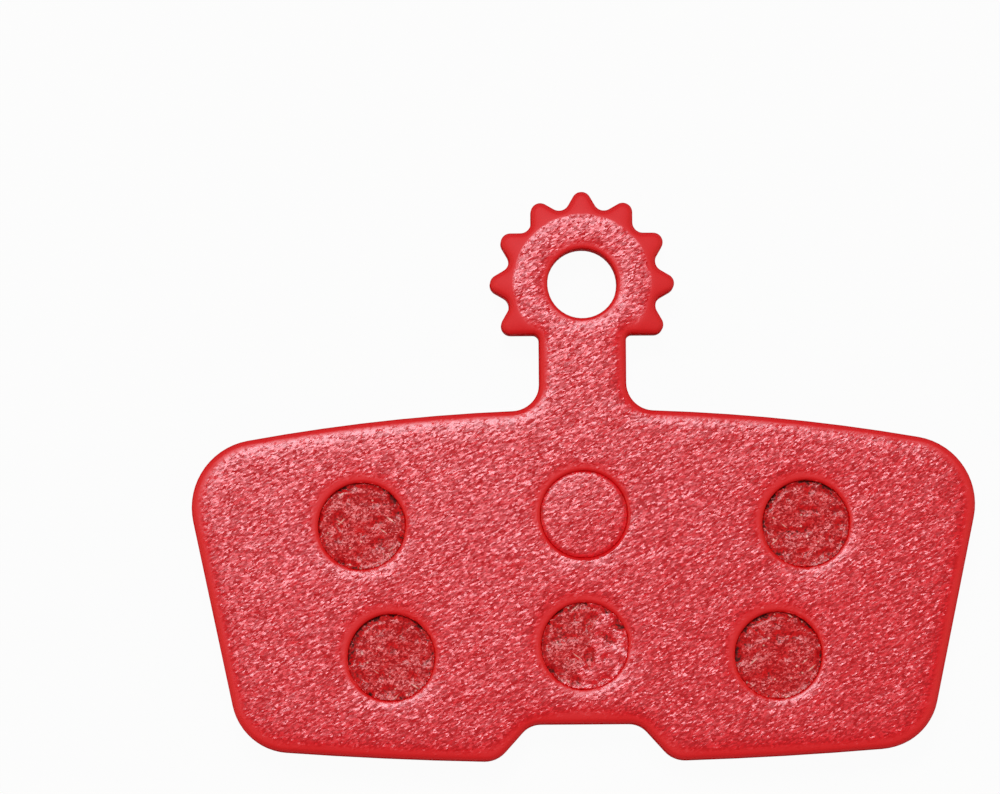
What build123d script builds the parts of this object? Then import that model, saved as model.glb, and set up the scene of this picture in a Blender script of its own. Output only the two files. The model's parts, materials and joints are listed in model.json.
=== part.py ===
from build123d import *
import os
from math import cos, hypot, radians, sin, sqrt, tan

# Disc brake pad for a four-piston bicycle caliper: a blanked steel backing plate
# with a toothed retaining tab, and a friction block moulded onto the plate and up
# through its keying holes.
#
# Millimetres and degrees. X runs across the pad, +Y points to the tab and +Z out of
# the plate's back. The pad lies on its friction face, at Z = 0, and the origin is under
# the middle of the pad's outline. Drops are measured down from the centre of the bore.

# Plate blank
plate_width = 45.0  # widest, across the upper corners
plate_thickness = 1.9
top_edge_drop = 7.25  # to the crown of the top edge
top_edge_radius = 110.7
bottom_edge_drop = 27.5  # to the crown of the bottom edge
bottom_edge_radius = 222.0
side_lean = 11.8  # the sides draw in towards the bottom
top_corner_radius = 3.9
bottom_corner_radius = 3.4
edge_round = 0.3  # rolled edge round the back
burr_break = 0.1  # edge break on the friction side

# Notch in the bottom edge
notch_depth = 2.18
notch_floor_width = 6.3
notch_flank_angle = 48.0
notch_floor_radius = 1.4
notch_mouth_radius = 1.6

# Retaining tab, with its bore and toothed head
bore_diameter = 4.0
neck_width = 5.0
neck_root_radius = 1.6
neck_head_radius = 0.35
tooth_count = 12  # round a full turn; the lowest ones give way to the neck
tooth_reach = 120.0  # the last tooth to either side of the top one
tooth_tip_radius = 5.3
tooth_tip_round = 0.55
tooth_root_round = 0.6

# Keying holes, in two rows that sag towards their outer ends
key_hole_diameter = 5.0
upper_row_drop = 13.3
upper_row_spread = 12.75
lower_row_drop = 20.85
lower_row_spread = 11.1
row_sag = 0.6
rim_round = 0.2  # rolled rim of the bore and the keying holes

# Friction block, and how far its plugs stop below the plate's back
block_thickness = 2.1
block_margin = 2.3  # in from the plate's top edge and sides
block_bottom_drop = 24.8  # to the crown of its arched lower edge
block_bottom_radius = 80.0
block_corner_radius = 2.2
block_edge_chamfer = 0.15
upper_plug_recess = 0.1
lower_plug_recess = 0.28
outer_plug_recess = 0.45

tolerance = 0.001  # for telling vertices apart


def side_half_width(y, margin=0.0):
    """Half the plate's width between its leaning sides at y, less a margin all along."""
    corner_x = plate_width / 2 - top_corner_radius
    corner_y = sqrt((top_edge_radius - top_corner_radius) ** 2 - corner_x**2)
    corner_y -= top_edge_drop + top_edge_radius
    at_corner = corner_x + (top_corner_radius - margin) / cos(radians(side_lean))
    return at_corner + (y - corner_y) * tan(radians(side_lean))


def tapered_sides(margin=0.0):
    """The four corners of the taper between the sides, well past both edges."""
    low = -bottom_edge_drop - bottom_corner_radius
    top_x = side_half_width(0, margin)
    low_x = side_half_width(low, margin)
    return [(-top_x, 0), (-low_x, low), (low_x, low), (top_x, 0)]


def clock_point(radius, angle):
    """A point about the bore, with the angle counted from +Y."""
    return (radius * sin(radians(angle)), radius * cos(radians(angle)))


def in_line_with_neck(vertex):
    """True for a vertex on the line of one of the neck's sides."""
    return abs(abs(vertex.X) - neck_width / 2) < tolerance


# Toothed head: straight flanks lean by one tooth pitch, which sets the last tooth's
# lower flank square to the neck
pitch = 360 / tooth_count
sharp_tip = tooth_tip_radius + tooth_tip_round * (1 / sin(radians(pitch)) - 1)
sharp_root = sharp_tip * sin(radians(pitch)) / sin(radians(1.5 * pitch))
teeth_each_side = int(tooth_reach // pitch)
star = [clock_point(sharp_root, -(teeth_each_side + 0.5) * pitch)]
for tooth in range(-teeth_each_side, teeth_each_side + 1):
    star.append(clock_point(sharp_tip, tooth * pitch))
    star.append(clock_point(sharp_root, (tooth + 0.5) * pitch))

with BuildSketch() as head:
    Polygon(*star, align=None)
    tips = head.vertices().filter_by(lambda v: hypot(v.X, v.Y) > tooth_tip_radius)
    fillet(tips, tooth_tip_round)
    roots = head.vertices().filter_by(lambda v: hypot(v.X, v.Y) < sharp_root + tolerance)
    fillet(roots.filter_by(lambda v: v.Y > star[0][1] + tolerance), tooth_root_round)

# Blank: tapered body between two crowned edges, less the notch, plus the tab
notch_floor = notch_depth - bottom_edge_drop
notch_mouth = -bottom_edge_drop - notch_depth
floor_x = notch_floor_width / 2
mouth_x = floor_x + (notch_floor - notch_mouth) / tan(radians(notch_flank_angle))
notch = [(-floor_x, notch_floor), (-mouth_x, notch_mouth)]
notch += [(mouth_x, notch_mouth), (floor_x, notch_floor)]

with BuildSketch() as blank:
    Polygon(*tapered_sides(), align=None)
    with Locations((0, -top_edge_drop - top_edge_radius)):
        Circle(top_edge_radius, mode=Mode.INTERSECT)
    with Locations((0, bottom_edge_radius - bottom_edge_drop)):
        Circle(bottom_edge_radius, mode=Mode.INTERSECT)
    fillet(blank.vertices().group_by(Axis.Y)[-1], top_corner_radius)
    fillet(blank.vertices().group_by(Axis.Y)[0], bottom_corner_radius)
    Polygon(*notch, align=None, mode=Mode.SUBTRACT)
    fillet(blank.vertices().group_by(Axis.Y)[0], notch_mouth_radius)
    floor_corners = blank.vertices().filter_by(lambda v: abs(v.Y - notch_floor) < tolerance)
    fillet(floor_corners, notch_floor_radius)
    with Locations((0, -top_edge_drop - neck_root_radius)):
        Rectangle(neck_width, top_edge_drop + neck_root_radius, align=(Align.CENTER, Align.MIN))
    add(head.sketch)
    fillet(blank.vertices().filter_by(in_line_with_neck).group_by(Axis.Y)[0], neck_root_radius)
    fillet(blank.vertices().filter_by(in_line_with_neck).group_by(Axis.Y)[-1], neck_head_radius)

# The bore stands so far up that the pad's outline is centred on the origin
bore_y = -blank.sketch.bounding_box().center().Y
seat_plane = Plane((0, bore_y, block_thickness))

# Keying holes and the recess of the plug in each
key_holes = {
    (0, -upper_row_drop): upper_plug_recess,
    (0, -lower_row_drop): lower_plug_recess,
}
for side in (-1, 1):
    key_holes[(side * upper_row_spread, -upper_row_drop - row_sag)] = outer_plug_recess
    key_holes[(side * lower_row_spread, -lower_row_drop - row_sag)] = outer_plug_recess

with BuildPart() as backing_plate:
    with BuildSketch(seat_plane):
        add(blank.sketch)
        Circle(bore_diameter / 2, mode=Mode.SUBTRACT)
        with Locations(*key_holes):
            Circle(key_hole_diameter / 2, mode=Mode.SUBTRACT)
    extrude(amount=plate_thickness)
    fillet(backing_plate.faces().sort_by(Axis.Z)[-1].outer_wire().edges(), edge_round)
    rims = backing_plate.faces().sort_by(Axis.Z)[-1].inner_wires()
    fillet([edge for rim in rims for edge in rim.edges()], rim_round)
    chamfer(backing_plate.faces().sort_by(Axis.Z)[0].outer_wire().edges(), burr_break)

with BuildSketch() as footprint:
    Polygon(*tapered_sides(block_margin), align=None)
    with Locations((0, -top_edge_drop - top_edge_radius)):
        Circle(top_edge_radius - block_margin, mode=Mode.INTERSECT)
    with Locations((0, -block_bottom_drop - block_bottom_radius)):
        Circle(block_bottom_radius, mode=Mode.SUBTRACT)
    fillet(footprint.vertices(), block_corner_radius)

with BuildPart() as friction_block:
    with BuildSketch(Plane((0, bore_y, 0))):
        add(footprint.sketch)
    extrude(amount=block_thickness)
    chamfer(friction_block.faces().sort_by(Axis.Z)[0].edges(), block_edge_chamfer)
    for centre, recess in key_holes.items():
        with BuildSketch(seat_plane):
            with Locations(centre):
                Circle(key_hole_diameter / 2)
        extrude(amount=plate_thickness - recess)

backing_plate.part.label = "backing_plate"
friction_block.part.label = "friction_block"
os.makedirs("parts", exist_ok=True)
export_step(backing_plate.part, "parts/backing_plate.step")
export_step(friction_block.part, "parts/friction_block.step")
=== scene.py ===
# %% [markdown]
# # A bicycle disc brake pad
# The pad is a blanked steel plate, painted red on its back, with a block of friction compound moulded onto
# its other face and up through six round holes. The exact solids are loaded as a fixed frame. Blender adds
# what they leave out: the soft roll of the blanked edges, the grain of the paint, the crumbly plug ends, the
# speckled friction side, the light and the camera.

import json
import math

import bmesh
import bpy
from mathutils import Matrix, Vector, kdtree, noise


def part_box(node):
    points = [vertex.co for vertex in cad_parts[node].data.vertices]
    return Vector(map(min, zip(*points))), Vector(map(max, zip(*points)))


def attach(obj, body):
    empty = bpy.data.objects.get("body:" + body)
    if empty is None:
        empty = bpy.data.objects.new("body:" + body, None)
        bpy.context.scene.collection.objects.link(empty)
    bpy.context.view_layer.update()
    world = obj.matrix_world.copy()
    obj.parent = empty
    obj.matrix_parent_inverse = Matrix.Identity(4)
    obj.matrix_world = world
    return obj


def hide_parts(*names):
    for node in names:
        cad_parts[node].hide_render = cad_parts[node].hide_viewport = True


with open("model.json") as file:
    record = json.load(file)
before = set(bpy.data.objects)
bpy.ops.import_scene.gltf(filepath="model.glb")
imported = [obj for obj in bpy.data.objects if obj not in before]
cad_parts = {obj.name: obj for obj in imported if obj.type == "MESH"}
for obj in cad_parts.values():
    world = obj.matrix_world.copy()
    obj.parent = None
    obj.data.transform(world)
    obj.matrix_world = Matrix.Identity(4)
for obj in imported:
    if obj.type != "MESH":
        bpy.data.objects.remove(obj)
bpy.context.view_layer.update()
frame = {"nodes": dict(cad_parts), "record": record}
plate_low, plate_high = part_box("backing_plate")
mm = 0.001

# %% [markdown]
# ## Camera
# The picture looks down on the painted back, only a few degrees from square, so the outline shows almost
# undistorted. A long lens keeps the perspective that flat. The camera is aimed at the point of the back that
# lies in the middle of the picture, and not at the pad's own middle, because the pad lies low and to the
# right in the frame. This needs no lens shift, which would also move every other view.

# %% Camera
picture_middle = Vector((-4.77, 4.53, plate_high.z / mm)) * mm
camera_distance = 478.4 * mm
camera_lens = 300.0
lean_left = math.radians(1.0)
lean_down = math.radians(3.5)
camera_roll = math.radians(-0.4)

camera_back = Vector((-math.tan(lean_left), -math.tan(lean_down), 1)).normalized()
camera_right = Vector((0, 1, 0)).cross(camera_back).normalized()
camera_up = camera_back.cross(camera_right)
facing = Matrix((camera_right, camera_up, camera_back)).transposed().to_4x4()

camera = bpy.data.objects.new("camera", bpy.data.cameras.new("camera"))
camera.data.lens = camera_lens
camera.data.clip_start = 1 * mm
camera.matrix_world = (
    Matrix.Translation(picture_middle + camera_back * camera_distance)
    @ Matrix.Rotation(camera_roll, 4, camera_back)
    @ facing
)
bpy.context.scene.collection.objects.link(camera)
bpy.context.scene.camera = camera
bpy.context.scene.view_settings.view_transform = "Standard"
print("camera at", [round(place / mm, 1) for place in camera.location], "mm")

# %% [markdown]
# ## Light
# Glossy grainy paint is drawn by its highlights: each grain that tilts towards the lamp flashes, and the
# rest shows plain red. In the picture the flashes sit on the grains that face the tab and a little to the
# left, and they thin out towards the lower right. So one soft square lamp stands high above the tab, just
# clear of the camera's mirror direction. Two large, weak and warm panels stand low to the left and right,
# because the rounded edges on those sides shine faintly orange. An even, dim sky fills the shadows.

# %% Softboxes and sky
def add_softbox(name, place, size, radiance, colour):
    """A square lamp that faces the origin, as bright from every side as the radiance says."""
    lamp = bpy.data.objects.new(name, bpy.data.lights.new(name, "AREA"))
    lamp.data.shape = "SQUARE"
    lamp.data.size = size
    lamp.data.energy = radiance * math.pi * size ** 2
    lamp.data.color = colour
    lamp.location = place
    lamp.rotation_euler = place.to_track_quat("Z", "Y").to_euler()
    bpy.context.scene.collection.objects.link(lamp)
    return lamp


sky_strength = 0.27
warm = (1, 0.8, 0.55)
panel_size = 300 * mm
add_softbox("softbox", Vector((-36, 120, 400)) * mm, size=112 * mm, radiance=28.0, colour=(1, 1, 1))
add_softbox("left_panel", Vector((-350, 0, 200)) * mm, size=panel_size, radiance=1.5, colour=warm)
add_softbox("right_panel", Vector((350, 0, 200)) * mm, size=panel_size, radiance=1.4, colour=warm)

sky = bpy.data.worlds.new("studio_sky")
sky.use_nodes = True
sky.node_tree.nodes["Background"].inputs["Color"].default_value = (1, 1, 1, 1)
sky.node_tree.nodes["Background"].inputs["Strength"].default_value = sky_strength
bpy.context.scene.world = sky
print("lamps", [lamp.name for lamp in bpy.data.lights])

# %% [markdown]
# ## Working with shader nodes
# Every finish below is a small graph of shader nodes. The first helper adds one node, sets its options, and
# fills its inputs: a socket is linked, and anything else becomes the input's own value. The others start a
# material, mix two colours by a mask, do one step of arithmetic, and map one range of a value to another.

# %% Node helpers
def add_node(tree, kind, inputs=None, **settings):
    """Adds a shader node, with its options as keywords and its inputs by name or number."""
    made = tree.nodes.new(kind)
    for name, value in settings.items():
        setattr(made, name, value)
    for name, value in (inputs or {}).items():
        if isinstance(value, bpy.types.NodeSocket):
            tree.links.new(value, made.inputs[name])
        else:
            made.inputs[name].default_value = value
    return made


def new_material(name):
    """An empty node material, returned with its tree."""
    material = bpy.data.materials.new(name)
    material.use_nodes = True
    material.node_tree.nodes.clear()
    return material, material.node_tree


def mix_colour(tree, mask, under, over):
    """The colour under, with the colour over where the mask is 1."""
    mixed = add_node(tree, "ShaderNodeMix", {"Factor": mask, "A": under, "B": over}, data_type="RGBA")
    return mixed.outputs["Result"]


def math_node(tree, operation, first, second=0.0, third=0.0, clamp=False):
    """One step of arithmetic on values that change over the surface."""
    inputs = {0: first, 1: second, 2: third}
    return add_node(tree, "ShaderNodeMath", inputs, operation=operation, use_clamp=clamp).outputs[0]


def stretch(tree, value, low, high, new_low=0.0, new_high=1.0):
    """The value with the range from low to high mapped to a new range, and clamped there."""
    inputs = {"Value": value, "From Min": low, "From Max": high, "To Min": new_low, "To Max": new_high}
    return add_node(tree, "ShaderNodeMapRange", inputs).outputs[0]


print("node helpers ready")

# %% [markdown]
# ## Floor
# The picture has a plain white ground. A floor lit only by the lamps would come out grey at one end, so what
# the camera sees of it is mostly a white glow of strength 1, and the rest is an ordinary matt surface, which
# keeps a soft shadow round the pad. Mirror and see-through rays get the same white.

# %% Floor
floor_glow_share = 0.96
floor_grey = (0.35, 0.35, 0.35, 1)
floor_half_width = 2.0

floor_material, tree = new_material("white_floor")
ray = add_node(tree, "ShaderNodeLightPath")
seen = math_node(tree, "MAXIMUM", ray.outputs["Is Camera Ray"], ray.outputs["Is Glossy Ray"])
seen = math_node(tree, "MAXIMUM", seen, ray.outputs["Is Transmission Ray"])
matt = add_node(tree, "ShaderNodeBsdfDiffuse", {"Color": floor_grey})
glow = add_node(tree, "ShaderNodeEmission", {"Color": (1, 1, 1, 1), "Strength": 1.0})
share = math_node(tree, "MULTIPLY", seen, floor_glow_share)
mixed = add_node(tree, "ShaderNodeMixShader", {0: share, 1: matt.outputs[0], 2: glow.outputs[0]})
add_node(tree, "ShaderNodeOutputMaterial", {"Surface": mixed.outputs[0]})

shape = bmesh.new()
bmesh.ops.create_grid(shape, x_segments=1, y_segments=1, size=floor_half_width)
floor_mesh = bpy.data.meshes.new("floor")
shape.to_mesh(floor_mesh)
shape.free()
floor = bpy.data.objects.new("floor", floor_mesh)
floor_mesh.materials.append(floor_material)
bpy.context.scene.collection.objects.link(floor)
print("floor", [round(side, 1) for side in floor.dimensions], "m")

# %% [markdown]
# ## Three shared effects
# The grain of the coating is on the plate and on the painted plug ends alike, so it is made of node groups.
# The first is a soft streaky noise that leans up to the right, as a height for a Bump node. Stretching a
# noise needs a turn first and a scale second, which a Mapping node does when its type is Texture: its Scale
# is then simply the length and width of one streak.

# %% Streaks group
def new_group(name, inputs, outputs):
    """A shader node group, where a socket called Normal is a vector and any other one a float."""
    group = bpy.data.node_groups.new(name, "ShaderNodeTree")
    for socket, value in inputs.items():
        kind = "NodeSocketVector" if socket == "Normal" else "NodeSocketFloat"
        group.interface.new_socket(socket, in_out="INPUT", socket_type=kind).default_value = value
    for socket in outputs:
        kind = "NodeSocketVector" if socket == "Normal" else "NodeSocketFloat"
        group.interface.new_socket(socket, in_out="OUTPUT", socket_type=kind)
    return group, add_node(group, "NodeGroupInput").outputs, add_node(group, "NodeGroupOutput")


def leaning_cells(tree, place, length, width, lean):
    """Coordinates that count cells of that length and width, turned about Z by the lean."""
    turn = add_node(tree, "ShaderNodeCombineXYZ", {"Z": lean})
    cell = add_node(tree, "ShaderNodeCombineXYZ", {"X": length, "Y": width, "Z": width})
    inputs = {"Vector": place, "Rotation": turn.outputs[0], "Scale": cell.outputs[0]}
    return add_node(tree, "ShaderNodeMapping", inputs, vector_type="TEXTURE").outputs[0]


def noise_value(tree, place, scale, detail):
    """A noise from 0 to 1, with about that many lumps to the unit."""
    inputs = {"Vector": place, "Scale": scale, "Detail": detail}
    return add_node(tree, "ShaderNodeTexNoise", inputs).outputs["Fac"]


streaks, given, result = new_group(
    "streaks", {"Length": 0.5 * mm, "Width": 0.25 * mm, "Lean": 0.5}, ["Height"]
)
place = add_node(streaks, "ShaderNodeTexCoord").outputs["Object"]
streak_cells = leaning_cells(streaks, place, given["Length"], given["Width"], given["Lean"])
streaks.links.new(noise_value(streaks, streak_cells, 1.0, 2.0), result.inputs["Height"])
print("group", streaks.name, "has", len(streaks.nodes), "nodes")

# %% [markdown]
# The second effect is what makes the coating glitter: countless tiny flakes, each lying a little askew. A
# Voronoi texture splits space into cells, each with its own random colour. Red and green, counted from the
# middle of their range, become the flake's tilt along X and Y, and the tilt is added to the normal. A second
# output, Shade, says how far a flake leans up to the left, where it also catches more even light.

# %% Tilted flakes group
lit_direction = (-0.4, 0.9, 0)


def vector_node(tree, operation, first, second=(0, 0, 0)):
    """One step of arithmetic on vectors."""
    return add_node(tree, "ShaderNodeVectorMath", {0: first, 1: second}, operation=operation).outputs[0]


tilted_flakes, given, result = new_group(
    "tilted_flakes",
    {"Length": 0.165 * mm, "Width": 0.075 * mm, "Lean": 0.5, "Tilt": 0.1, "Normal": (0, 0, 1)},
    ["Normal", "Shade"],
)
place = add_node(tilted_flakes, "ShaderNodeTexCoord").outputs["Object"]
flake_cells = leaning_cells(tilted_flakes, place, given["Length"], given["Width"], given["Lean"])
flakes = add_node(
    tilted_flakes, "ShaderNodeTexVoronoi", {"Vector": flake_cells, "Scale": 1.0}, voronoi_dimensions="2D"
)
askew = vector_node(tilted_flakes, "SUBTRACT", flakes.outputs["Color"], (0.5, 0.5, 0.5))
askew = vector_node(tilted_flakes, "MULTIPLY", askew, (2, 2, 0))
tilted = vector_node(tilted_flakes, "MULTIPLY_ADD", askew, given["Tilt"])
tilted_flakes.links.new(given["Normal"], tilted.node.inputs[2])
tilted_flakes.links.new(vector_node(tilted_flakes, "NORMALIZE", tilted), result.inputs["Normal"])
leaning = add_node(
    tilted_flakes, "ShaderNodeVectorMath", {0: askew, 1: lit_direction}, operation="DOT_PRODUCT"
)
shade = math_node(tilted_flakes, "MULTIPLY_ADD", leaning.outputs["Value"], 0.5, 0.5)
tilted_flakes.links.new(shade, result.inputs["Shade"])
print("group", tilted_flakes.name, "has", len(tilted_flakes.nodes), "nodes")

# %% [markdown]
# The third effect is a scatter of single grains. On the friction side of the plate they are white specks
# painted on as glints, the compound is a mix of mineral, metal and fibre grains, and on the plug ends they
# are pale fibres and pale specks painted on as glints. Here one channel of the cell's colour picks which
# cells hold a grain, and the distance from the cell's middle gives the grain its round outline. Long cells
# give fibres.

# %% Scattered grains group
scattered_grains, given, result = new_group(
    "scattered_grains",
    {"Length": 0.2 * mm, "Width": 0.2 * mm, "Lean": 0.0, "Share": 0.3, "Radius": 0.35, "Softness": 0.1},
    ["Mask", "Pick"],
)
place = add_node(scattered_grains, "ShaderNodeTexCoord").outputs["Object"]
grain_cells = leaning_cells(scattered_grains, place, given["Length"], given["Width"], given["Lean"])
cells = add_node(scattered_grains, "ShaderNodeTexVoronoi", {"Vector": grain_cells, "Scale": 1.0})
lots = add_node(scattered_grains, "ShaderNodeSeparateColor", {0: cells.outputs["Color"]})
chosen = math_node(scattered_grains, "LESS_THAN", lots.outputs["Red"], given["Share"])
inside = math_node(scattered_grains, "SUBTRACT", given["Radius"], cells.outputs["Distance"])
rounded = math_node(scattered_grains, "DIVIDE", inside, given["Softness"], clamp=True)
mask = math_node(scattered_grains, "MULTIPLY", chosen, rounded)
scattered_grains.links.new(mask, result.inputs["Mask"])
scattered_grains.links.new(lots.outputs["Green"], result.inputs["Pick"])
print("group", scattered_grains.name, "has", len(scattered_grains.nodes), "nodes")

# %% [markdown]
# ## Red coating
# The back and the edges carry a red powder coat. Most of its light and dark is the flakes catching the lamp,
# and the base colour of those that lean away from it is painted a little darker, as painted shade. Close to
# the cut edges and on the teeth the coat has flowed smooth, so the plate carries an attribute, flowed, that
# is about 1 on a straight edge. The painted light and shade fade first, then the grain itself, along a
# border that the streaks make ragged. The grain is patchy, too: deep in some places and almost flat in
# others. Each pair of numbers below is a range of a value, from where a change starts to where it ends.

# %% Red coating
painted_lit_red = (0.66, 0.003, 0.008, 1)
painted_shaded_red = (0.42, 0.001, 0.003, 1)
edge_red = (0.61, 0.001, 0.002, 1)
grain_lean = math.radians(30)
streak_depth = 0.022 * mm
flake_tilt = 0.068
patch_size = 0.3 * mm
patch_noise = (0.35, 0.65)
patch_grain = (0.4, 1.6)
ragged_share = 0.8
grain_fades = (0.82, 0.93)
flake_shades = (0.2, 0.8)
shades_fade = (0.6, 0.85)
gloss_fades = (0.7, 1.0)
paint_roughness = 0.27
smooth_roughness = 0.6


def group_node(tree, group, values):
    """Places a node group in a material with its own values, and returns its outputs."""
    return add_node(tree, "ShaderNodeGroup", values, node_tree=group).outputs


def bump_normal(tree, height, depth):
    """The normal of a surface with that height, where 1 stands for the depth in metres."""
    bump = add_node(tree, "ShaderNodeBump", {"Height": height, "Strength": 1.0, "Distance": depth})
    return bump.outputs["Normal"]


red_coating, tree = new_material("red_coating")
flowed = add_node(tree, "ShaderNodeAttribute", attribute_name="flowed").outputs["Fac"]
height = group_node(tree, streaks, {"Lean": grain_lean})["Height"]
raised = math_node(tree, "ADD", flowed, ragged_share / 2)
ragged = math_node(tree, "MULTIPLY_ADD", height, -ragged_share, raised)
grain_left = stretch(tree, ragged, *grain_fades, 1.0, 0.0)
place = add_node(tree, "ShaderNodeTexCoord").outputs["Object"]
patches = stretch(tree, noise_value(tree, place, 1 / patch_size, 1.0), *patch_noise, *patch_grain)
grain = math_node(tree, "MULTIPLY", patches, grain_left)
relief = math_node(tree, "MULTIPLY", math_node(tree, "SUBTRACT", height, 0.5), grain)
normal = bump_normal(tree, relief, streak_depth)
tilt = math_node(tree, "MULTIPLY", grain, flake_tilt)
flakes = group_node(tree, tilted_flakes, {"Lean": grain_lean, "Tilt": tilt, "Normal": normal})
# Painted light and shade: the base colour is darker on flakes that lean away from the lamp and lighter on
# those that lean towards it.
base = mix_colour(tree, stretch(tree, flakes["Shade"], *flake_shades), painted_shaded_red, painted_lit_red)
base = mix_colour(tree, stretch(tree, flowed, *shades_fade), base, edge_red)
roughness = stretch(tree, flowed, *gloss_fades, paint_roughness, smooth_roughness)
paint = add_node(
    tree, "ShaderNodeBsdfPrincipled",
    {"Base Color": base, "Roughness": roughness, "Normal": flakes["Normal"]},
)
paint.inputs["IOR"].default_value = 1.48
paint.inputs["Specular Tint"].default_value = (1.0, 0.9, 1.0, 1)
add_node(tree, "ShaderNodeOutputMaterial", {"Surface": paint.outputs[0]})
print("material", red_coating.name)

# %% [markdown]
# The steep rim and the upright walls are the cut edge itself. There the coat is thin and matt, so it doesn't
# mirror the ground.

# %% Matt red of the cut edge
cut_edge_red, tree = new_material("cut_edge_red")
matt_paint = add_node(tree, "ShaderNodeBsdfPrincipled", {"Base Color": edge_red, "Roughness": 0.8})
matt_paint.inputs["Specular IOR Level"].default_value = 0.1
add_node(tree, "ShaderNodeOutputMaterial", {"Surface": matt_paint.outputs[0]})
print("material", cut_edge_red.name)

# %% [markdown]
# ## Friction side of the plate
# The plate's other face never gets the red coat. It is dark maroon and grit-blasted so that the compound
# holds, and its glitter is painted on as white specks, painted highlights.

# %% Maroon with painted glints
maroon = (0.034, 0.006, 0.003, 1)
painted_glint_white = (0.95, 0.80, 0.76, 1)
coarse_glints = {"Length": 0.23 * mm, "Width": 0.19 * mm, "Lean": 0.4}
fine_glints = {"Length": 0.15 * mm, "Width": 0.1 * mm, "Lean": -0.3}
blast_size = {"Length": 0.25 * mm, "Width": 0.22 * mm}
blast_depth = 0.1 * mm

maroon_painted_glints, tree = new_material("maroon_painted_glints")
base = maroon
# Painted highlights: white specks stand in for the glints of the blasted steel.
for cells in (coarse_glints, fine_glints):
    values = {**cells, "Share": 0.5, "Radius": 0.55, "Softness": 0.4}
    glints = group_node(tree, scattered_grains, values)
    brightness = math_node(tree, "MULTIPLY", glints["Mask"], glints["Pick"])
    base = mix_colour(tree, brightness, base, painted_glint_white)
normal = bump_normal(tree, group_node(tree, streaks, blast_size)["Height"], blast_depth)
blasted = add_node(
    tree, "ShaderNodeBsdfPrincipled",
    {"Base Color": base, "Roughness": 0.5, "IOR": 1.2, "Normal": normal},
)
add_node(tree, "ShaderNodeOutputMaterial", {"Surface": blasted.outputs[0]})
print("material", maroon_painted_glints.name)

# %% [markdown]
# ## Plate
# A blanking die pulls the edge of the sheet down before it cuts, so the back of the plate rolls off softly
# towards its outline, more at the corners and on the teeth than along the straights, and a little at each
# pierced hole. The solid has a plain round edge, so a copy of it is bent. How far each vertex sinks comes
# from how much cut edge lies near it. The solid's mesh is loose triangles: the copy is welded first, and
# dissolving then joins the triangles of each flat face into one face.

# %% Copy of a solid
weld_distance = 0.0001 * mm
flat_angle = math.radians(0.2)


def joined_copy(node_name):
    """A bmesh copy of a CAD node with its loose triangles welded and its flat faces whole."""
    copy = bmesh.new()
    copy.from_mesh(frame["nodes"][node_name].data)
    bmesh.ops.remove_doubles(copy, verts=copy.verts, dist=weld_distance)
    bmesh.ops.dissolve_limit(copy, angle_limit=flat_angle, verts=copy.verts, edges=copy.edges)
    return copy


plate = joined_copy("backing_plate")
print("plate solid has", len(plate.faces), "faces")

# %% [markdown]
# Bending needs vertices, so a fine grid is cut into the copy. A bisecting plane for every line of the grid
# would meet the whole mesh each time. Halving the faces again and again is quicker, because each cut then
# meets only the faces that it crosses.

# %% Grid cuts
cut_snap = 0.01 * mm
plate_step = 0.25 * mm


def cut_slices(shape, faces, axis, low, step, count):
    """Cuts the faces across an axis into slices a step wide, by halving them again and again."""
    if count < 2 or not faces:
        return faces
    half = count // 2
    along = Vector((0, 0, 0))
    along[axis] = 1
    where = low + half * step
    parts = set(faces)
    for face in faces:
        parts.update(face.edges)
        parts.update(face.verts)
    found = bmesh.ops.bisect_plane(
        shape, geom=list(parts), dist=cut_snap, plane_co=along * where, plane_no=along
    )
    cut = [part for part in found["geom"] if isinstance(part, bmesh.types.BMFace)]
    lower = [face for face in cut if face.calc_center_median()[axis] < where]
    upper = [face for face in cut if face.calc_center_median()[axis] >= where]
    lower = cut_slices(shape, lower, axis, low, step, half)
    return lower + cut_slices(shape, upper, axis, where, step, count - half)


def cut_grid(shape, faces, axes, step):
    """Cuts the faces into a grid of about that step across the given axes."""
    for axis in axes:
        reach = [vert.co[axis] for face in faces for vert in face.verts]
        count = math.ceil((max(reach) - min(reach)) / step)
        faces = cut_slices(shape, faces, axis, min(reach), (max(reach) - min(reach)) / count, count)
    return faces


cut_grid(plate, plate.faces[:], (0, 1), plate_step)
print("plate cut into", len(plate.faces), "faces")

# %% [markdown]
# The cut edge is sampled along the feet of the plate's upright walls, every few hundredths of a millimetre.
# The flat faces near it are split once more, because the roll is narrow.

# %% Sample the cut edge
sample_spacing = 0.07 * mm
fine_reach = 0.8 * mm
facing_up = 0.99
wall_lean = 0.1
burr_break = 0.1 * mm
mounts = {mount["name"]: mount for mount in frame["record"]["mounts"]}
bore_middle = Vector(mounts["pin_bore"]["pos_m"][:2])
upper_row_drop = 13.3 * mm
filled_hole_middle = bore_middle - Vector((0, upper_row_drop))
hole_reach = 3.0 * mm
outline_shares = (1.0, 1.1)
bore_shares = (0.5, 1.0)
hole_shares = (0.5, 0.97)
filled_hole_shares = (0.35, 0.9)


def edge_shares(spot, in_hole):
    """How much a bit of edge counts for the roll of the steel and for the flow of the coat."""
    if not in_hole:
        return outline_shares
    if (spot.xy - bore_middle).length < hole_reach:
        return bore_shares
    return filled_hole_shares if (spot.xy - filled_hole_middle).length < hole_reach else hole_shares


def cut_edge_samples(shape):
    """Points along the edges at the foot of the upright walls, each with its length and its shares."""
    samples = []
    for edge in shape.edges:
        leans = sorted(abs(face.normal.z) for face in edge.link_faces)
        start, end = (vert.co for vert in edge.verts)
        height = (start.z + end.z) / 2 - plate_low.z
        if len(leans) < 2 or leans[0] > wall_lean or leans[1] < wall_lean or height > 2 * burr_break:
            continue
        in_hole = height < burr_break / 2
        count = math.ceil(edge.calc_length() / sample_spacing)
        for number in range(count):
            spot = start.lerp(end, (number + 0.5) / count)
            samples.append((spot.xy, edge.calc_length() / count, edge_shares(spot, in_hole)))
    return samples


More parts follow.
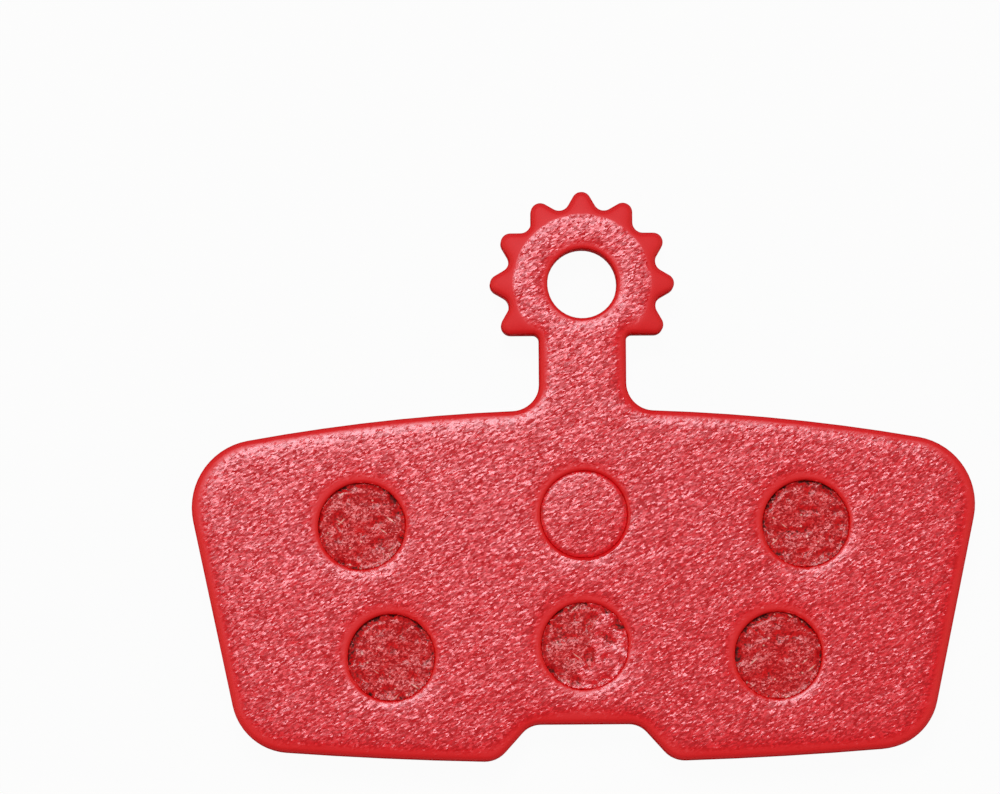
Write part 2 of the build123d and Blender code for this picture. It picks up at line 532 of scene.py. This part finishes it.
plate.normal_update()
samples = cut_edge_samples(plate)
sample_tree = kdtree.KDTree(len(samples))
for number, sample in enumerate(samples):
    sample_tree.insert((*sample[0], 0), number)
sample_tree.balance()

near_edges = set()
for face in plate.faces:
    middle = face.calc_center_median()
    if face.normal.z > facing_up and sample_tree.find((middle.x, middle.y, 0))[2] < fine_reach:
        near_edges.update(face.edges)
bmesh.ops.subdivide_edges(plate, edges=list(near_edges), cuts=1, use_grid_fill=True)
print("edge samples", len(samples), "plate faces", len(plate.faces))

# %% [markdown]
# Each sample counts by its length and fades with distance, so the sum is about 1 on a straight edge, more
# where the outline bends round a point, and almost nothing a millimetre further in. Steel fades quickly, the
# smooth flow of the coat more slowly. The pierced holes are rolled less than the outline, and the one that
# is filled up least of all. The wet coat also sagged, as on a plate that hangs by its tab: the smooth band
# is widest along the lower edges and above the holes.

# %% Roll and flow
roll_fade = 0.25 * mm
flow_fade = 0.65 * mm
edge_reach = 2.0 * mm
outline_sag = Vector((0, 0.1))
hole_sag = Vector((-0.2, 0.3))


def roll_and_flow(place):
    """How far the steel is rolled down and the coat has flowed smooth at a place on the plate."""
    roll = 0.0
    flow = 0.0
    for _, number, gap in sample_tree.find_range((place.x, place.y, 0), edge_reach):
        spot, length, shares = samples[number]
        roll_share, flow_share = shares
        sag = hole_sag if shares in (hole_shares, filled_hole_shares) else outline_sag
        sagged = 1 + sag.dot(place.xy - spot) / max(gap, sample_spacing)
        roll += roll_share * sagged * length * math.exp(-gap / roll_fade) / (2 * roll_fade)
        flow += flow_share * sagged * length * math.exp(-gap / flow_fade) / (2 * flow_fade)
    return roll, flow


lowest = min((vert.co for vert in plate.verts), key=lambda place: place.y)
print("roll and flow on the lower edge", [round(share, 2) for share in roll_and_flow(lowest)])

# %% [markdown]
# With these two sums, every vertex near the back is sunk by its roll and told how smooth its coat is. At the
# lower right of a keying hole the coat has filled the rim, so the rim is raised there first. The teeth are
# smooth all over and bent down a little.

# %% Roll the edges
roll_start = plate_high.z - 1.0 * mm
roll_depth = 0.14 * mm
most_roll = 1.15
rim_width = 0.25 * mm
rim_fill = 0.75
fill_direction = Vector((-0.6, 0.8))
full_fill = 0.7
tooth_root = 4.1 * mm
tooth_blend = 0.2 * mm
tooth_slope = 0.14
head_foot = bore_middle.y - 3.2 * mm


def smooth_step(low, high, value):
    """0 below low, 1 above high, and a smooth rise between."""
    share = max(0.0, min(1.0, (value - low) / (high - low)))
    return share * share * (3 - 2 * share)


flowed_layer = plate.verts.layers.float.new("flowed")
for vert in plate.verts:
    height = (vert.co.z - roll_start) / (plate_high.z - roll_start)
    if height <= 0:
        continue
    spot, _, shares = samples[sample_tree.find((vert.co.x, vert.co.y, 0))[1]]
    to_edge = spot - vert.co.xy
    if shares == hole_shares and to_edge.length < rim_width:
        filled = rim_fill * smooth_step(0.0, full_fill, fill_direction.dot(to_edge.normalized()))
        vert.co.z += filled * (plate_high.z - vert.co.z)
    roll, flow = roll_and_flow(vert.co)
    sunk = roll_depth * min(roll, most_roll)
    from_bore = (vert.co.xy - bore_middle).length
    if vert.co.y > head_foot:
        flow += smooth_step(tooth_root - tooth_blend, tooth_root + tooth_blend, from_bore)
        sunk += tooth_slope * max(0.0, from_bore - tooth_root)
    vert.co.z -= sunk * min(1.0, height)
    vert[flowed_layer] = flow
print("rolled the edges of", len(plate.verts), "vertices")

# %% [markdown]
# The back isn't dead flat either: the coat swells and sinks by some hundredths of a millimetre. Then the
# faces that look down get the maroon finish and the steep ones the matt red, and the piece takes the place
# of the plain solid. A finished piece is shaded smooth, apart from its sharp edges, and rides on the pad.

# %% Swell of the coat, and the finished plate
swell_size = 1.3 * mm
swell_depth = 0.025 * mm
sharp_plate_angle = math.radians(38)
steep = 0.6
facing_down = -0.8


def finished_piece(name, shape, materials, sharp_angle):
    """Turns a bmesh into a smooth-shaded object that rides on the pad."""
    mesh = bpy.data.meshes.new(name)
    bmesh.ops.triangulate(shape, faces=[face for face in shape.faces if len(face.verts) > 4])
    for face in shape.faces:
        face.smooth = True
    shape.to_mesh(mesh)
    shape.free()
    mesh.set_sharp_from_angle(angle=sharp_angle)
    for material in materials:
        mesh.materials.append(material)
    piece = bpy.data.objects.new(name, mesh)
    bpy.context.scene.collection.objects.link(piece)
    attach(piece, "root")
    return piece


for vert in plate.verts:
    if vert.co.z > roll_start:
        vert.co.z += swell_depth * (noise.noise(vert.co / swell_size) - 1) / 2
plate.normal_update()
for face in plate.faces:
    face.material_index = 1 if face.normal.z < facing_down else 2 if face.normal.z < steep else 0
finishes = [red_coating, maroon_painted_glints, cut_edge_red]
painted_plate = finished_piece("painted_plate", plate, finishes, sharp_plate_angle)
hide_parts("backing_plate")
print("painted plate has", len(painted_plate.data.polygons), "faces")

# %% [markdown]
# ## Friction compound
# The compound is pressed from resin, fibres and mineral grains. Its face is greenish grey-brown and mottled,
# with grains of many colours and short fibres that run towards the tab.

# %% Compound
compound_dark = (0.055, 0.040, 0.025, 1)
compound_pale = (0.240, 0.185, 0.125, 1)
fibre_cell = (0.22 * mm, 0.45 * mm, 0.22 * mm)
mottle_range = (0.36, 0.64)
compound_depth = 0.05 * mm
grain_strength = 0.75
grain_colours = [
    (0.0, (0.52, 0.47, 0.42, 1)),
    (0.30, (0.36, 0.29, 0.10, 1)),
    (0.48, (0.16, 0.18, 0.22, 1)),
    (0.64, (0.26, 0.10, 0.06, 1)),
    (0.78, (0.025, 0.022, 0.020, 1)),
    (0.93, (0.55, 0.36, 0.12, 1)),
]


def compound_colour(tree):
    """Mottled base colour of the compound with its grains, and a height for its bump."""
    place = add_node(tree, "ShaderNodeTexCoord").outputs["Object"]
    fibres = add_node(
        tree, "ShaderNodeMapping", {"Vector": place, "Scale": fibre_cell}, vector_type="TEXTURE"
    )
    mottle = noise_value(tree, fibres.outputs[0], 1.0, 6.0)
    colour = mix_colour(tree, stretch(tree, mottle, *mottle_range), compound_dark, compound_pale)
    grains = group_node(
        tree, scattered_grains,
        {"Length": 0.16 * mm, "Width": 0.24 * mm, "Share": 0.6, "Radius": 0.6, "Softness": 0.4},
    )
    tints = add_node(tree, "ShaderNodeValToRGB", {"Fac": grains["Pick"]})
    tints.color_ramp.interpolation = "CONSTANT"
    while len(tints.color_ramp.elements) < len(grain_colours):
        tints.color_ramp.elements.new(0.5)
    for stop, (where, tint) in zip(tints.color_ramp.elements, grain_colours):
        stop.position = where
        stop.color = tint
    shown = math_node(tree, "MULTIPLY", grains["Mask"], grain_strength)
    return mix_colour(tree, shown, colour, tints.outputs["Color"]), mottle


compound, tree = new_material("compound")
colour, height = compound_colour(tree)
normal = bump_normal(tree, height, compound_depth)
pressed = add_node(
    tree, "ShaderNodeBsdfPrincipled",
    {"Base Color": colour, "Roughness": 0.8, "IOR": 1.3, "Normal": normal},
)
add_node(tree, "ShaderNodeOutputMaterial", {"Surface": pressed.outputs[0]})
print("material", compound.name)

# %% [markdown]
# ## Painted plug ends
# The red coat also covers the ends of the six plugs. The plug in the middle of the upper row fills its hole
# almost to the top and looks like the plate. The others end lower, and there the coat lies thinly over
# crumbly compound: it is darker and rougher, pale fibres show through, pale specks are painted on as glints,
# and flakes that lean away from the lamp get a darker base colour, as painted shade. The coat misses the
# deepest crevices, where bare compound shows almost black. A vertex attribute says where those are and also
# darkens a band along the wall of the hole as painted shade, and a fine noise breaks their edges up into
# crumbs.

# %% Plug coating
painted_lit_plug_red = (0.57, 0.006, 0.008, 1)
painted_shaded_plug_red = (0.32, 0.002, 0.004, 1)
bare_compound_and_shade = (0.075, 0.007, 0.006, 1)
pale_fibre_and_glint = (0.78, 0.46, 0.40, 1)
plug_shades = (0.15, 0.85)
plug_streaks = {"Length": 0.22 * mm, "Width": 0.15 * mm}
plug_depth = 0.012 * mm
plug_flakes = {"Length": 0.12 * mm, "Width": 0.08 * mm, "Tilt": 0.085}
glint_specks = {"Length": 0.32 * mm, "Width": 0.32 * mm, "Share": 0.10, "Radius": 0.22, "Softness": 0.08}
fibres = {"Length": 1.1 * mm, "Width": 0.16 * mm, "Share": 0.04, "Radius": 0.32, "Softness": 0.15}
fibre_and_glint_strength = 0.6
crumb_size = mm / 6
crumb_share = 1.8
bare_and_shade_range = (1.18, 1.5)
bare_roughness = 0.8

plug_coating, tree = new_material("plug_coating")
place = add_node(tree, "ShaderNodeTexCoord").outputs["Object"]
crevice_and_shade = add_node(tree, "ShaderNodeAttribute", attribute_name="crevice_and_shade").outputs["Fac"]
crumbs = noise_value(tree, place, 1 / crumb_size, 2.0)
# The dark mask is bare compound in the crevices and pits, plus painted shade in a band along the hole's
# wall.
bare_and_shade = math_node(tree, "MULTIPLY_ADD", crumbs, crumb_share, crevice_and_shade)
bare_and_shade = stretch(tree, bare_and_shade, *bare_and_shade_range)
bumpy = bump_normal(tree, group_node(tree, streaks, plug_streaks)["Height"], plug_depth)
flakes = group_node(tree, tilted_flakes, {**plug_flakes, "Normal": bumpy})
# Painted light and shade: flakes that lean away from the lamp get the darker red, those that lean towards it
# the lighter one.
base = mix_colour(tree, stretch(tree, flakes["Shade"], *plug_shades), painted_shaded_plug_red, painted_lit_plug_red)
base = mix_colour(tree, bare_and_shade, base, bare_compound_and_shade)
# Pale fibres, and pale specks painted on as glints.
for grains in (glint_specks, {**fibres, "Lean": math.radians(42)}, {**fibres, "Lean": math.radians(-35)}):
    shown = group_node(tree, scattered_grains, grains)["Mask"]
    base = mix_colour(tree, math_node(tree, "MULTIPLY", shown, fibre_and_glint_strength), base, pale_fibre_and_glint)
roughness = stretch(tree, bare_and_shade, 0.0, 1.0, paint_roughness, bare_roughness)
crumbly = add_node(
    tree, "ShaderNodeBsdfPrincipled",
    {"Base Color": base, "Roughness": roughness, "Normal": flakes["Normal"]},
)
crumbly.inputs["IOR"].default_value = 1.33
crumbly.inputs["Specular Tint"].default_value = (1.0, 0.9, 0.93, 1)
add_node(tree, "ShaderNodeOutputMaterial", {"Surface": crumbly.outputs[0]})
print("material", plug_coating.name)

# %% [markdown]
# ## Friction block and its plugs
# The block is cut by a grid as the plate was, finest on the six plug ends, because they show. The corners of
# an end give the plug's middle and radius before the grid is cut into it.

# %% Cut the block
block_step = 0.3 * mm
plug_step = 0.11 * mm
seat_height = plate_low.z


def is_plug_end(face):
    """True for the flat end of a plug, well above the plate's seat."""
    return face.normal.z > facing_up and face.calc_center_median().z > seat_height + mm


block = joined_copy("friction_block")
body_faces = [face for face in block.faces if face.calc_center_median().z < seat_height - cut_snap]
plugs = []
for end in [face for face in block.faces if is_plug_end(face)]:
    xs = [vert.co.x for vert in end.verts]
    ys = [vert.co.y for vert in end.verts]
    middle = Vector(((min(xs) + max(xs)) / 2, (min(ys) + max(ys)) / 2, end.verts[0].co.z))
    radius = (max(xs) - min(xs)) / 2
    plugs.append((middle, radius, cut_grid(block, [end], (0, 1), plug_step)))
cut_grid(block, body_faces, (0, 1), block_step)
print("plugs", len(plugs), "block faces", len(block.faces))

# %% [markdown]
# The plug in the middle of the upper row is plain: a little domed, with a thin groove where it meets the
# wall of its hole.

# %% Level plug end
flush_recess = 0.2 * mm
groove_depth = 0.05 * mm
groove_width = 0.14 * mm
dome_height = 0.03 * mm


def level_sink(out, radius):
    """How deep the level plug end lies at that place from its middle, for its groove and its dome."""
    groove = groove_depth * (1 - smooth_step(0, groove_width, radius - out.length))
    return groove + dome_height * (out.length / radius) ** 2


print("the level plug end sinks by up to", round((groove_depth + dome_height) / mm, 2), "mm")

# %% [markdown]
# The other ends get lumps and pits from noise. Where an end meets the wall of its hole, paint fills the
# corner, or the compound has crumbled away, mostly on the side towards the tab. A bump in the material could
# suggest this, but vertices that really move also cast shadows and show from the side. The share that comes
# back darkens the colour: bare compound in the crevices and pits, and a band of painted shade along the
# wall.

# %% Crumbled plug ends
lump_size = 1.3 * mm
lump_depth = 0.03 * mm
bit_size = 0.3 * mm
bit_depth = 0.006 * mm
pit_size = 0.6 * mm
pit_depth = 0.05 * mm
pit_shift = Vector((1, 8, 4))
crevice_depth = 0.12 * mm
crevice_start = 0.05 * mm
crevice_width = 0.45 * mm
crevice_spread = 0.9 * mm
crevice_shift = Vector((7, 3, 1))
crevice_side = Vector((-0.2, 0.22, 0))
corner_fill = 0.05 * mm
corner_width = 0.25 * mm


def crumbled_end(spot, out, radius):
    """The rise of a crumbled plug end at a spot, and its share of bare compound and painted shade there."""
    to_wall = radius - out.length
    lumps = noise.fractal(spot / lump_size, 0.9, 2.0, 2)
    bits = noise.noise(spot / bit_size)
    pit = smooth_step(0.2, 0.5, noise.noise(spot / pit_size + pit_shift))
    gap = noise.noise(spot / crevice_spread + crevice_shift) + 0.35 * bits
    # Towards the tab, where the wall's shadow falls, crevices open more often, so their dark there is partly
    # painted shadow.
    gap += crevice_side.dot(out) / radius
    wall_shade = 1 - smooth_step(0, crevice_width, to_wall)
    opened = smooth_step(0.05, 0.4, gap) * (1 - smooth_step(crevice_start, crevice_width, to_wall))
    corner = (1 - smooth_step(0, corner_width, to_wall)) * (1 - opened)
    rise = lump_depth * (lumps - 0.3) + bit_depth * (bits - 0.5) + corner_fill * corner
    rise -= crevice_depth * opened + pit_depth * pit
    # Painted shade: the band next to the wall of the hole is darkened.
    return rise, 0.45 * opened + 0.25 * pit + 0.12 * wall_shade


print("crevices are up to", round(crevice_depth / mm, 2), "mm deep")

# %% [markdown]
# Now every vertex of the six ends is moved. The lower middle plug also stands askew, almost level with the
# plate at its right.

# %% Shape the plug ends
askew_slope = Vector((0.03, -0.01, 0))

crevice_and_shade_layer = block.verts.layers.float.new("crevice_and_shade")
for middle, radius, faces in plugs:
    flush = plate_high.z - middle.z < flush_recess
    askew = not flush and abs(middle.x) < radius
    for vert in {corner for face in faces for corner in face.verts}:
        out = vert.co - middle
        if flush:
            vert.co.z -= level_sink(out, radius)
            continue
        rise, vert[crevice_and_shade_layer] = crumbled_end(vert.co, out, radius)
        vert.co.z += rise
        if askew:
            vert.co.z += askew_slope.dot(out)
print("shaped", len(plugs), "plug ends")

# %% [markdown]
# The face and the sides of the block are rough. Their vertices move inwards only, so the block keeps its
# size. Each face then gets its finish: bare compound, the crumbly coat, or on the level plug the plate's own
# coat.

# %% Roughen the block and finish it
face_grain = 0.35 * mm
face_depth = 0.05 * mm
sharp_block_angle = math.radians(50)

for vert in block.verts:
    if vert.co.z < seat_height - cut_snap:
        depth = face_depth * (0.5 + 0.5 * noise.fractal(vert.co / face_grain, 0.8, 2.0, 3))
        vert.co -= vert.normal * max(0.0, min(face_depth, depth))
block.normal_update()
for face in block.faces:
    height = face.calc_center_median().z
    flush = plate_high.z - height < flush_recess + groove_depth + dome_height
    face.material_index = 0 if height < seat_height + cut_snap else 2 if flush else 1
finishes = [compound, plug_coating, red_coating]
moulded_block = finished_piece("moulded_block", block, finishes, sharp_block_angle)
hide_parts("friction_block")
print("moulded block has", len(moulded_block.data.polygons), "faces")
